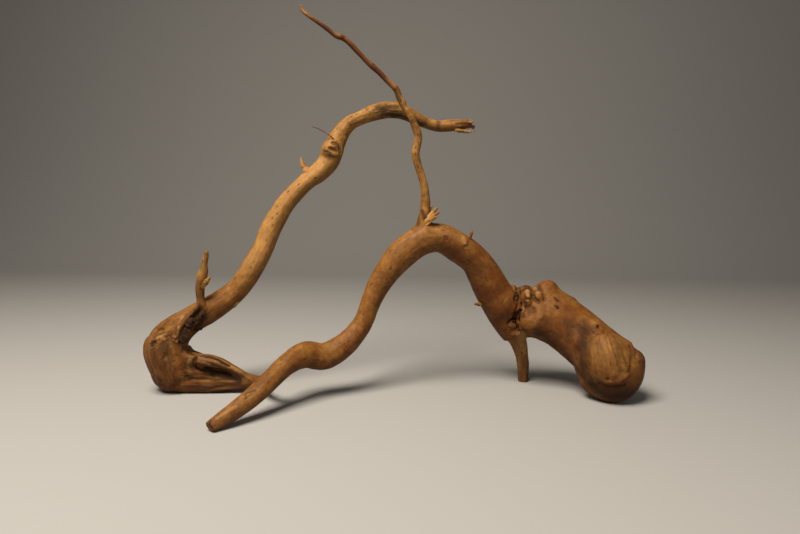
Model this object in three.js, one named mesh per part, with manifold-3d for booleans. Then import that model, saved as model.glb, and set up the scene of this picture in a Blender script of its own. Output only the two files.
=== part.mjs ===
// Spiderwood root, one grown piece of bare wood: a thick crown, an arched main stem, a front leg,
// a knotted hub with a foot, a tall stem behind, a thin shoot and a small dead sprig.
// Millimetres, +Z up. The floor is Z = 0 and the origin is under the middle of the root.

import * as THREE from 'three';
import { mergeVertices } from 'three/addons/utils/BufferGeometryUtils.js';
import Module from 'manifold-3d';

const wasm = await Module();
wasm.setup();

// Overall size of the root, and how far its low points are worn flat
const REACH = 440;
const HEIGHT = 323;
const FLOOR = 0;

// From the routes' own zero point to the point under the middle of the root
const ROUTE_ZERO = [3, 3, 0];

// Colour and sheen of the dry wood
const WOOD_COLOUR = 0x8f5a32;
const WOOD_ROUGHNESS = 0.62;

// Each station of a route is x, y, z and the radius there

// Front leg from its cut tip, over the arch and down into the crown
const ARCH = {
  route: [
    [-132, -72, 3.5, 4.4],
    [-125, -65, 7, 5.6],
    [-116, -55, 12, 6.8],
    [-104, -41, 20, 7.5],
    [-95, -29, 28, 7.9],
    [-85, -15, 36, 9],
    [-74, -1, 39, 11],
    [-60, 8, 35.5, 11.2],
    [-42, 15, 45, 10],
    [-28, 21, 62, 8.6],
    [-20, 25, 83, 8.8],
    [-13, 27, 97, 10],
    [4, 29, 120, 12.6],
    [23, 31, 134, 13],
    [39, 33, 136, 12.7],
    [55, 37, 128, 13.3],
    [71, 41, 116, 13.4],
    [80, 45, 103, 14.9],
    [87, 47, 91, 16],
    [96, 50, 75, 16],
    [103, 52, 60, 14],
    [111, 52, 47, 11],
  ],
  sides: 18,
  rings: 64,
  flute: 0.03,
  knot: 0.025,
  seed: 11,
};

// Short broken peg under the crown
const PEG = {
  route: [
    [107, 52, 58, 12],
    [110, 53, 50, 10.5],
    [116, 56, 38, 7.5],
    [119.5, 57.5, 26, 5.8],
    [121.5, 58.5, 14, 5.3],
    [122, 59, 4, 5],
    [122.5, 59, -7, 4.8],
  ],
  sides: 10,
  rings: 10,
  flute: 0.05,
  knot: 0.02,
  seed: 23,
};

// Crown from its torn collar to its blunt end
const CROWN = {
  route: [
    [99, 50, 72, 10],
    [112, 49, 70, 17],
    [126, 47, 68.5, 21.6],
    [138, 43, 66.5, 23.6],
    [150, 39, 61, 23.4],
    [163, 32, 51.5, 23.4],
    [174.5, 24, 41.5, 23.4],
    [183, 17.5, 34, 24],
    [189, 12, 28, 23.6],
    [195, 10, 25, 20],
    [201, 9, 24, 13],
  ],
  sides: 22,
  rings: 17,
  flute: 0.035,
  knot: 0.02,
  seed: 37,
};

// Foot from behind the front leg to the left end of the hub
const FOOT = {
  route: [
    [-92, -22, 31, 4.5],
    [-103, -8, 19, 4],
    [-113, 8, 12, 4],
    [-121, 16, 11, 4.4],
    [-131, 20, 10, 5.5],
    [-140, 22, 11, 7.6],
    [-150, 24, 13, 10.2],
    [-165, 24, 15.5, 13.2],
    [-180, 24, 18.5, 16],
    [-194, 22, 24, 17.4],
    [-203, 21, 27.5, 14],
    [-210, 21, 31, 7],
  ],
  sides: 14,
  rings: 18,
  flute: 0.05,
  knot: 0.03,
  seed: 41,
};

// Tall stem from the hub, past its bend and eye knot, to its broken end
const TALL_STEM = {
  route: [
    [-193, 20, 22, 10],
    [-195.5, 20, 29, 16],
    [-197.5, 21, 36.5, 17.8],
    [-197, 22, 44, 16.8],
    [-192, 23, 51.5, 14.6],
    [-182.5, 24, 59.5, 12.4],
    [-174, 25, 65, 11.6],
    [-165, 26, 70, 11.4],
    [-156.5, 27, 75, 10.9],
    [-148, 28, 81, 10.2],
    [-138, 30, 90, 9.4],
    [-131, 32, 100, 9.5],
    [-126, 34, 109, 9.7],
    [-118, 37, 124, 9.1],
    [-111, 41, 143, 9.2],
    [-100, 44, 163, 8.4],
    [-91, 46, 174, 8],
    [-81, 48, 184, 7.8],
    [-70, 50, 193, 8.6],
    [-62, 52, 202, 9],
    [-58, 53, 211, 9.2],
    [-55, 54, 220, 8.6],
    [-49, 56, 231, 7.2],
    [-42, 57, 238, 6.3],
    [-34, 58, 242, 6.1],
    [-23, 59, 247, 7.1],
    [-11, 60, 250, 7.6],
    [-1, 61, 250, 7.3],
    [10, 62, 247, 6.3],
    [23, 63, 241, 5.4],
    [36, 64, 237, 4.9],
    [48, 64, 237.5, 5.3],
    [57, 64, 238.5, 5],
    [68.5, 64, 239.5, 3.6],
  ],
  sides: 12,
  rings: 72,
  flute: 0.05,
  knot: 0.035,
  seed: 53,
};

// Thin shoot that rises from the top of the arch
const SHOOT = {
  route: [
    [24, 30, 140, 9],
    [24, 29, 146, 7],
    [24, 28, 152, 5.6],
    [25, 27, 160, 4.3],
    [25, 26, 170, 3.7],
    [24, 25, 180, 3.4],
    [21, 24, 191, 3.3],
    [18, 23, 199, 3.2],
    [16, 22, 208, 3.1],
    [17.5, 22, 216, 3.1],
    [18, 22, 223, 3.2],
    [15, 21, 231, 3.2],
    [11, 20, 239, 3],
    [6, 20, 246, 2.8],
    [2, 19, 253, 2.8],
    [-1, 18, 260, 2.8],
    [-8, 18, 266, 2.3],
    [-15, 17, 273, 2.3],
    [-22, 16, 278.5, 2.2],
    [-31, 15, 287, 2.1],
    [-40, 14, 296, 2],
    [-45, 14, 299.5, 2.1],
    [-50, 13, 300.5, 1.9],
    [-57, 12, 305.5, 1.8],
    [-67, 11, 312, 1.6],
    [-75, 10, 317, 1.4],
    [-77.5, 10, 320, 1.2],
    [-78.5, 9, 323, 0.6],
  ],
  sides: 7,
  rings: 46,
  flute: 0.04,
  knot: 0.06,
  seed: 67,
};

// Small dead sprig on the hub
const SPRIG = {
  route: [
    [-172, 21, 56, 7],
    [-169, 17, 64, 4.6],
    [-166, 14, 73, 3.7],
    [-166, 14, 82, 3.5],
    [-166, 13, 92, 3.6],
    [-164, 12, 100, 3.8],
    [-162, 12, 106, 2.9],
    [-161.5, 12, 113, 2],
    [-160, 12, 119, 1.4],
    [-159, 11, 124.5, 0.7],
  ],
  sides: 7,
  rings: 15,
  flute: 0.1,
  knot: 0.08,
  seed: 71,
};

// Ridges of the foot above and below its hollow
const UPPER_RIDGE = {
  route: [
    [-184, 16, 36, 8],
    [-176, 13, 34.5, 7],
    [-167, 12, 31.5, 5.8],
    [-158.5, 12, 29.5, 5.3],
    [-150, 13, 26.5, 4.8],
    [-142, 14, 21.5, 4.4],
    [-133.5, 14.5, 16.5, 4.2],
    [-124.5, 13, 11.5, 4],
    [-114, 6, 12.5, 3.6],
  ],
  sides: 10,
  rings: 14,
  flute: 0.08,
  knot: 0.05,
  seed: 79,
};
const LOWER_RIDGE = {
  route: [
    [-211, 21, 20, 2.5],
    [-206, 19, 14.5, 6],
    [-197.5, 18, 10.5, 8.2],
    [-183, 18, 7.7, 8.6],
    [-165.5, 18, 7.4, 8.3],
    [-150.5, 18, 8, 7],
    [-139, 18, 8, 6],
    [-129, 16, 9.7, 4.8],
    [-116.5, 8, 12.5, 3.4],
  ],
  sides: 10,
  rings: 14,
  flute: 0.08,
  knot: 0.05,
  seed: 83,
};

// Fold of wood from the sprig down over the hub, with a crevice behind it
const HUB_FOLD = {
  route: [
    [-154, 24, 78, 4],
    [-161, 17, 73, 5],
    [-168, 12.5, 67, 5.6],
    [-176, 10, 58, 6.2],
    [-181, 10, 48, 5.4],
    [-184, 11, 38, 4],
  ],
  sides: 9,
  rings: 8,
  flute: 0.08,
  knot: 0.05,
  seed: 89,
};

// Thorn, short spurs, splinter fan and the split in the tall stem's broken end
const SPIKE_SIDES = 6;
const SPIKES = [
  [[-72, 50, 190, 7], [-78, 48, 192, 5.4], [-82, 47, 197, 3], [-84.5, 46, 202, 1.7], [-85, 46, 206, 0.7]],
  [[61, 35, 128, 6], [63.5, 33, 134, 3], [66, 32, 140, 1.6], [67, 31.5, 143, 0.8]],
  [[82, 45, 77, 5], [77, 44, 76, 2.6], [71.5, 43, 76, 0.8]],
  [[-145, 28, 76, 6], [-140.5, 25, 75.5, 1.8], [-136.5, 22, 78.5, 0.6]],
  [[-164, 13, 97, 3], [-167, 12.5, 102, 2], [-167.5, 12, 106, 0.9]],
  [[-164, 12, 94, 3], [-160, 11, 98, 2.4], [-156.5, 11, 102, 1]],
  [[24, 28, 149, 3.4], [30, 25, 156, 1.9], [35.5, 22, 162, 0.7]],
  [[24, 27, 149, 3.4], [31, 24, 154, 1.8], [37, 23, 158.5, 0.7]],
  [[24, 27, 147, 3.2], [29, 23, 151.5, 1.7], [33.5, 21, 155, 0.7]],
  [[25, 28, 151, 3], [28, 27, 157, 1.7], [31, 26, 164, 0.7]],
  [[48, 63, 236, 3.4], [58, 62, 232.5, 2], [66, 61.5, 231.5, 1.4], [71.5, 61, 233.5, 0.6]],
  [[55, 65, 238, 4], [64, 66, 237.5, 2.6], [71.5, 66.5, 236.5, 1]],
];

// Swellings: centre, half sizes, the turns about X, Y and Z in degrees, and the faces round
const SWELLINGS = [
  // Muzzle-like burl, chin, side lobe and end knob of the crown
  [[175, -1, 40], [16, 15, 23], [-18, -10, -20], 14],
  [[185, 5, 22], [24, 20, 23], [0, 0, -15], 16],
  [[162, 9, 32], [7.5, 11, 27], [0, -13, 0], 12],
  [[204.5, 6, 38], [7.5, 8, 7], [0, 0, 0], 9],
  // Crotch between the crown and the peg
  [[122, 51, 55.5], [13, 11, 10], [0, 0, 0], 12],
  // Hump and lumps along the torn collar
  [[138, 46, 83], [12, 12, 15], [0, 12, 0], 12],
  [[118, 46, 85], [9, 9, 10.5], [0, 15, 0], 10],
  [[109, 49, 87], [7, 8, 8], [0, 0, 0], 9],
  [[127, 33, 82], [7, 6, 7], [0, 0, 0], 9],
  [[115, 34, 82], [6, 6, 8], [0, 10, 0], 9],
  [[113, 33, 70], [6, 6, 8], [0, 0, 0], 9],
  [[110, 35, 58], [6, 7, 8], [0, 0, 0], 9],
  [[125, 31, 61], [13, 9, 11], [0, 0, 0], 11],
  [[159, 42, 79.5], [5, 5, 6], [0, 0, 0], 7],
  // Rim of the hub's hollow and the swelling round the eye knot
  [[-204, 9, 36], [9, 8, 16], [0, -10, 0], 11],
  [[-188, 9, 18], [14, 8, 8], [0, 0, 0], 10],
  [[-58, 49, 212], [9, 7, 10], [0, 20, 0], 10],
];

// Hollows, laid out like the swellings
const HOLLOWS = [
  [[-192, 0, 36], [8, 7, 12], [0, 8, 0], 12],
  [[-146, 7, 19.5], [21, 7, 4.4], [0, 18, -2], 12],
  [[-56, 41.5, 211.5], [5.5, 3.6, 2.6], [0, 30, 0], 8],
  [[106, 32, 68], [2.4, 6, 17], [0, -6, 0], 8],
  [[154, 9, 46], [2.4, 7, 13], [0, -14, 0], 8],
];

// Millimetres along a limb over which its flutes and knots come round again, least and most
const SLOW_FLUTE = [70, 120];
const QUICK_FLUTE = [34, 48];
const KNOT_SPACING = [15, 21];

// Height of the quick flutes beside the slow ones
const QUICK_SHARE = 0.6;

// Rows of faces on an egg shape for each face round it
const EGG_ROWS = 0.65;

// Seeded draw of numbers from 0 to 1, by a linear congruence
const DRAW_STEP = 1664525;
const DRAW_SHIFT = 1013904223;
const DRAW_RANGE = 2 ** 32;
function draws(seed) {
  let state = seed;
  return () => {
    state = (state * DRAW_STEP + DRAW_SHIFT) % DRAW_RANGE;
    return state / DRAW_RANGE;
  };
}

// Uneven girth of grown wood: flutes that wander round the limb and knots along it
function girth({ flute, knot, seed }) {
  const draw = draws(seed);
  const turn = [draw(), draw(), draw(), draw()].map((share) => share * 2 * Math.PI);
  const [slow, quick, spacing] = [SLOW_FLUTE, QUICK_FLUTE, KNOT_SPACING].map(
    ([least, most]) => THREE.MathUtils.lerp(least, most, draw()),
  );
  return (along, angle) => {
    const slowFlute = Math.sin(2 * angle + turn[0] + along / slow);
    const quickFlute = Math.sin(3 * angle + turn[1] - along / quick);
    const knots = Math.sin(along / spacing + turn[2] + Math.cos(angle + turn[3]));
    return 1 + flute * (slowFlute + QUICK_SHARE * quickFlute) + knot * knots;
  };
}

// Turns a geometry into a solid, sharing the vertices that lie together
function solid(geometry) {
  geometry.deleteAttribute('normal');
  geometry.deleteAttribute('uv');
  const merged = mergeVertices(geometry);
  return new wasm.Manifold(new wasm.Mesh({
    numProp: 3,
    vertProperties: merged.getAttribute('position').array,
    triVerts: new Uint32Array(merged.index.array),
  }));
}

// A limb: a cylinder bent along the route, its radius following the stations
function limb({ route, sides, rings, flute = 0, knot = 0, seed = 1 }) {
  const spine = new THREE.CatmullRomCurve3(route.map(([x, y, z]) => new THREE.Vector3(x, y, z)), false, 'centripetal');
  const radius = new THREE.SplineCurve(route.map((station, index) => new THREE.Vector2(index, station[3])));
  const frames = spine.computeFrenetFrames(rings, false);
  const length = spine.getLength();
  const swell = girth({ flute, knot, seed });
  const geometry = new THREE.CylinderGeometry(1, 1, 1, sides, rings);
  const position = geometry.getAttribute('position');
  for (let index = 0; index < position.count; index += 1) {
    const share = position.getY(index) + 0.5;
    const ring = Math.round(share * rings);
    const across = new THREE.Vector2(position.getX(index), position.getZ(index));
    const reach = radius.getPoint(spine.getUtoTmapping(share)).y * swell(share * length, across.angle());
    const point = spine.getPointAt(share)
      .addScaledVector(frames.binormals[ring], across.x * reach)
      .addScaledVector(frames.normals[ring], across.y * reach);
    position.setXYZ(index, point.x, point.y, point.z);
  }
  return solid(geometry);
}

// A thorn or splinter with few faces
function spike(route) {
  return limb({ route, sides: SPIKE_SIDES, rings: 2 * route.length - 2 });
}

// An egg shape, for a swelling or a hollow
function egg([centre, half, turn, sides]) {
  const geometry = new THREE.SphereGeometry(1, sides, Math.round(sides * EGG_ROWS));
  const [x, y, z] = turn.map(THREE.MathUtils.degToRad);
  geometry.scale(...half);
  geometry.rotateX(x);
  geometry.rotateY(y);
  geometry.rotateZ(z);
  geometry.translate(...centre);
  return solid(geometry);
}

// The slab below the floor, which takes the worn flats off the low points
function belowFloor() {
  const geometry = new THREE.BoxGeometry(2 * REACH, 2 * REACH, HEIGHT);
  geometry.translate(0, 0, FLOOR - HEIGHT / 2);
  return solid(geometry);
}

// All limbs and swellings joined, then the hollows and the floor cut away
function rootSolid() {
  const limbs = [ARCH, PEG, CROWN, FOOT, TALL_STEM, SHOOT, SPRIG, HUB_FOLD, UPPER_RIDGE, LOWER_RIDGE].map(limb);
  const grown = [...limbs, ...SPIKES.map(spike), ...SWELLINGS.map(egg)];
  const joined = grown.reduce((whole, piece) => whole.add(piece));
  const hollowed = HOLLOWS.map(egg).reduce((whole, hollow) => whole.subtract(hollow), joined);
  return hollowed.subtract(belowFloor()).translate(ROUTE_ZERO);
}

// The solid as a drawable geometry
function geometryOf(body) {
  const { vertProperties, triVerts } = body.getMesh();
  const geometry = new THREE.BufferGeometry();
  geometry.setAttribute('position', new THREE.BufferAttribute(vertProperties, 3));
  geometry.setIndex(new THREE.BufferAttribute(triVerts, 1));
  geometry.computeVertexNormals();
  return geometry;
}

const wood = new THREE.MeshStandardMaterial({ color: WOOD_COLOUR, roughness: WOOD_ROUGHNESS, metalness: 0 });
const root = new THREE.Mesh(geometryOf(rootSolid()), wood);
root.name = 'spiderwood_root';

const part = new THREE.Group();
part.add(root);

export default part;
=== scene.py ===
import itertools
import math
from functools import partial

import bmesh
import bpy
import numpy as np
from bpy.props import FloatProperty, FloatVectorProperty, IntProperty, PointerProperty
from mathutils import Euler, Matrix, Vector


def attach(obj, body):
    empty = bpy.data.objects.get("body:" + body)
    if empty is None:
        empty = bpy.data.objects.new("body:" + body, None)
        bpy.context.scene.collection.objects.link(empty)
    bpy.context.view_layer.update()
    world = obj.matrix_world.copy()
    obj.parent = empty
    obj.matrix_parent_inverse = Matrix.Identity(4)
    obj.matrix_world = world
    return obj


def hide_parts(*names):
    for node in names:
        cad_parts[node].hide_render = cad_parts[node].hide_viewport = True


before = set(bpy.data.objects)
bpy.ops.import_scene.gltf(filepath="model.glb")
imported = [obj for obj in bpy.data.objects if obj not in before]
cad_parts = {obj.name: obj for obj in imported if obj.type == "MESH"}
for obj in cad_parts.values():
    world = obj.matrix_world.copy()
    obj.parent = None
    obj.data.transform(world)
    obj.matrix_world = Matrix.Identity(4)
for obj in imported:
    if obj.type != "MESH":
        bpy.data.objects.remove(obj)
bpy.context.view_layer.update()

bl_info = {
    "name": "Spiderwood Root",
    "version": (1, 0, 0),
    "blender": (4, 5, 0),
    "location": "View3D > Sidebar > Root",
    "description": "Dresses the spiderwood root in grown wood and sets its stage",
    "category": "Object",
}

NODE = "spiderwood_root"
BODY = "root"

# The tables below are in millimetres
MM = 0.001

# The limbs of the root: x, y, z and radius at each station. The shade runs from russet at 0 to tan
# at 1, and the fibre is the depth of the grain's ridges. Both are spread evenly along the limb.
LIMBS = {
    "arch": {
        "route": [
            (-129, -69, 3.5, 4.4), (-122, -62, 7, 5.6), (-113, -52, 12, 6.8), (-101, -38, 20, 7.5),
            (-92, -26, 28, 7.9), (-82, -12, 36, 9), (-71, 2, 39, 11), (-57, 11, 35.5, 11.2),
            (-39, 18, 45, 10), (-25, 24, 62, 8.6), (-17, 28, 83, 8.8), (-10, 30, 97, 10),
            (7, 32, 120, 12.6), (26, 34, 134, 13), (42, 36, 136, 12.7), (58, 40, 128, 13.3),
            (74, 44, 116, 13.4), (83, 48, 103, 14.9), (90, 50, 91, 16), (99, 53, 75, 16),
            (106, 55, 60, 14), (114, 55, 47, 11),
        ],
        "shade": [0.35, 0.36, 0.3, 0.26, 0.28, 0.36, 0.46, 0.44, 0.26, 0.16, 0.12, 0.1],
        "fibre": [0.3, 0.25, 0.16, 0.12, 0.12, 0.12, 0.14, 0.14, 0.12, 0.12, 0.12, 0.12],
    },
    "peg": {
        "route": [
            (110, 55, 58, 12), (113, 56, 50, 10.5), (119, 59, 38, 7.5), (122.5, 60.5, 26, 5.8),
            (124.5, 61.5, 14, 5.3), (125, 62, 4, 5), (125.5, 62, -7, 4.8),
        ],
        "shade": [0.3, 0.75, 0.8, 0.6, 0.15],
        "fibre": [0.15, 0.3, 0.45, 0.5, 0.5],
    },
    "crown": {
        "route": [
            (102, 53, 72, 10), (115, 52, 70, 17), (129, 50, 68.5, 21.6), (141, 46, 66.5, 23.6),
            (153, 42, 61, 23.4), (166, 35, 51.5, 23.4), (177.5, 27, 41.5, 23.4), (186, 20.5, 34, 24),
            (192, 15, 28, 23.6), (198, 13, 25, 20), (204, 12, 24, 13),
        ],
        "shade": [0.1, 0.16, 0.18, 0.2, 0.2, 0.16],
        "fibre": [0.2, 0.18, 0.15, 0.12, 0.12, 0.12],
    },
    "muzzle": {
        "route": [
            (178.5, 10.5, 53, 12), (179, 6, 46, 14.8), (179.5, 3.2, 39, 16.2),
            (180.5, 2.5, 32, 16.4), (182, 3.5, 25, 14.5),
        ],
        "shade": [0.3, 0.42, 0.42, 0.34, 0.26],
        "fibre": [0.2, 0.34, 0.34, 0.3, 0.16],
    },
    "foot": {
        "route": [
            (-89, -19, 31, 4.5), (-100, -5, 19, 4), (-110, 11, 12, 4), (-118, 19, 11, 4.4),
            (-128, 23, 10, 5.5), (-137, 25, 11, 7.6), (-147, 27, 13, 10.2), (-162, 27, 15.5, 13.2),
            (-177, 27, 18.5, 16), (-191, 25, 24, 17.4), (-200, 24, 27.5, 14), (-207, 24, 31, 7),
        ],
        "shade": [0.3, 0.3, 0.3, 0.3, 0.2, 0.1, 0.15],
        "fibre": [0.5, 0.6, 0.7, 0.8, 0.7, 0.5, 0.4],
    },
    "tall_stem": {
        "route": [
            (-186, 22.5, 5, 11.5), (-189, 22.5, 14, 16), (-191.5, 23, 25, 17.4), (-194.5, 24, 36.5, 17.8),
            (-194, 25, 44, 16.8),
            (-189, 26, 51.5, 14.6), (-179.5, 27, 59.5, 12.4), (-171, 28, 65, 11.6),
            (-162, 29, 70, 11.4), (-153.5, 30, 75, 10.9), (-145, 31, 81, 10.2), (-135, 33, 90, 9.4),
            (-128, 35, 100, 9.5), (-123, 37, 109, 9.7), (-115, 40, 124, 9.1), (-108, 44, 143, 9.2),
            (-97, 47, 163, 8.4), (-88, 49, 174, 8), (-78, 51, 184, 7.8), (-67, 53, 193, 8.6),
            (-59, 55, 202, 9), (-55, 56, 211, 9.2), (-52, 57, 220, 8.6), (-46, 59, 231, 7.2),
            (-39, 60, 238, 6.3), (-31, 61, 242, 6.1), (-20, 62, 247, 7.1), (-8, 63, 250, 7.6),
            (2, 64, 250, 7.3), (13, 65, 247, 6.3), (26, 66, 241, 5.4), (39, 67, 237, 4.9),
            (51, 67, 237.5, 5.3), (60, 67, 238.5, 5), (71.5, 67, 239.5, 3.6),
        ],
        "shade": [0.12, 0.36, 0.36, 0.42, 0.6, 0.75, 0.82, 0.86, 0.9, 0.95, 1, 0.85, 0.6, 0.55],
        "fibre": [0.45, 0.45, 0.38, 0.3, 0.22, 0.2, 0.22, 0.25, 0.25, 0.25, 0.25, 0.25, 0.3, 0.35],
    },
    "shoot": {
        "route": [
            (27, 33, 140, 9), (27, 32, 146, 7), (27, 31, 152, 5.6), (28, 30, 160, 4.3),
            (28, 29, 170, 3.7), (27, 28, 180, 3.4), (24, 27, 191, 3.3), (21, 26, 199, 3.2),
            (19, 25, 208, 3.1), (20.5, 25, 216, 3.1), (21, 25, 223, 3.2), (18, 24, 231, 3.2),
            (14, 23, 239, 3), (9, 23, 246, 2.8), (5, 22, 253, 2.8), (2, 21, 260, 2.8),
            (-5, 21, 266, 2.3), (-12, 20, 273, 2.3), (-19, 19, 278.5, 2.2), (-28, 18, 287, 2.1),
            (-37, 17, 296, 2), (-42, 17, 299.5, 2.1), (-47, 16, 300.5, 1.9), (-54, 15, 305.5, 1.8),
            (-64, 14, 312, 1.6), (-72, 13, 317, 1.4), (-74.5, 13, 320, 1.2), (-75.5, 12, 323, 0.6),
        ],
        # The low shade on the upper half of the shoot is partly its darker wood and partly painted shade
        "shade": [0.3, 0.6, 0.95, 0.8, 0.95, 0.7, 0.8, 0.2, 0.2, 0, 0.2, 0.05, 0.9],
        "fibre": [0.2, 0.2, 0.18, 0.18, 0.16, 0.16, 0.14, 0.12, 0.12, 0.1, 0.1, 0.1, 0.05],
    },
    "sprig": {
        "route": [
            (-169, 24, 61, 4.6), (-166, 20, 65.5, 4.4), (-163, 17, 73, 3.7), (-163, 17, 82, 3.5),
            (-163, 16, 92, 3.6), (-161, 15, 100, 3.8), (-159, 15, 106, 3.1), (-158.5, 15, 113, 2.6),
            (-157, 15, 119, 2.2), (-156, 14, 124.5, 1.5),
        ],
        "shade": [0.3, 0.45, 0.5, 0.7, 0.6],
        "fibre": [0.3, 0.3, 0.3, 0.25, 0.1],
    },
    "fold": {
        "route": [
            (-156, 25, 77, 4), (-163.5, 19.5, 73, 4.6), (-170.5, 15, 67, 5), (-177, 13, 58, 5.6),
            (-180, 13, 48, 5.2), (-182, 14, 38, 4),
        ],
        "shade": [0.4, 0.36, 0.34, 0.25, 0.15],
        "fibre": [0.3, 0.35, 0.45, 0.5, 0.5],
    },
    "upper_ridge": {
        "route": [
            (-181, 19, 33.5, 7.4), (-173, 16, 31, 6.2), (-164, 15, 30, 5.2), (-155.5, 15, 29, 5.1),
            (-147, 16, 26.5, 4.8), (-139, 17, 21.5, 4.4), (-130.5, 17.5, 16.5, 4.2),
            (-121.5, 16, 11.5, 4), (-111, 9, 12.5, 3.6),
        ],
        "shade": [0.2, 0.3, 0.38, 0.36, 0.25],
        "fibre": [0.5, 0.6, 0.6, 0.55, 0.5],
    },
    "lower_ridge": {
        "route": [
            (-208, 24, 20, 2.5), (-203, 22, 14.5, 6), (-194.5, 21, 10.5, 8.2), (-180, 21, 7.7, 8.6),
            (-162.5, 21, 7.4, 8.3), (-147.5, 21, 8, 7), (-136, 21, 8, 6), (-126, 19, 9.7, 4.8),
            (-113.5, 11, 12.5, 3.4),
        ],
        "shade": [0.15, 0.22, 0.3, 0.3, 0.25],
        "fibre": [0.4, 0.55, 0.65, 0.6, 0.5],
    },
}

# Swellings: centre, half sizes, turns about X, Y and Z in degrees, and how far each one melts into the
# wood round it
SWELLINGS = [
    ((188, 8.5, 22), (23.6, 19.5, 22.6), (0, 0, -15), 8),
    ((165, 12.5, 32), (7, 10.5, 26), (0, -13, 0), 6),
    ((204.5, 9, 37), (8.8, 9.5, 7), (0, 0, 0), 10),
    ((196, 9, 44), (8, 11, 7), (0, 30, 0), 8),
    ((203, 9, 28), (10.2, 12, 14), (0, 0, 0), 8),
    ((198, 24, 30), (13, 15, 14), (0, 0, 0), 8),
    ((103, 48, 77), (10, 12, 12.5), (0, 12, 0), 8),
    ((125, 54, 55.5), (13, 11, 10), (0, 0, 0), 6),
    ((139.5, 49, 84.5), (11.5, 11.5, 14.5), (0, 25, 0), 6),
    ((152, 45, 76), (13, 10, 9.5), (0, 38, 0), 8),
    ((121, 49.5, 84), (8.5, 8.5, 9.5), (0, 15, 0), 3),
    ((112, 53, 86), (6.5, 7.5, 7), (0, 0, 0), 3),
    ((130, 36, 82), (7, 6, 7), (0, 0, 0), 3),
    ((120.5, 37, 82), (6, 6, 8), (0, 10, 0), 3),
    ((118.5, 36, 70), (6, 6, 8), (0, 0, 0), 3),
    ((128, 34, 61), (13, 9, 11), (0, 0, 0), 6),
    ((162, 45, 78), (4.5, 4.5, 5), (0, 0, 0), 3),
    ((-201, 12, 36), (9, 8, 16), (0, -10, 0), 6),
    ((-196, 14, 25), (9, 9, 12), (0, 0, 0), 6),
    ((-162, 15.5, 102.5), (3, 2.6, 5), (0, -12, 0), 2),
    ((-55, 52, 212), (9, 7, 10), (0, 20, 0), 3),
]

# Hollows, laid out like the swellings
HOLLOWS = [
    ((-143, 10, 19.5), (21, 7, 4.4), (0, 18, -2), 2),
    ((-53, 44.5, 211.5), (5.5, 3.6, 2.6), (0, 30, 0), 1),
    ((112.6, 35, 75), (1.7, 7, 19), (0, 8, 0), 1.2),
    ((-167, 14, 44), (12, 12, 6), (0, 10, 0), 3),
    ((-167.5, 10, 61.5), (3, 7, 13), (0, 27, 0), 1.5),
]

# Wood that fills slits of the solid before the skin is made, laid out like the swellings
FILLINGS = [
    ((158.5, 17, 46), (4.5, 7, 14), (0, -14, 0), 0),
]

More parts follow.
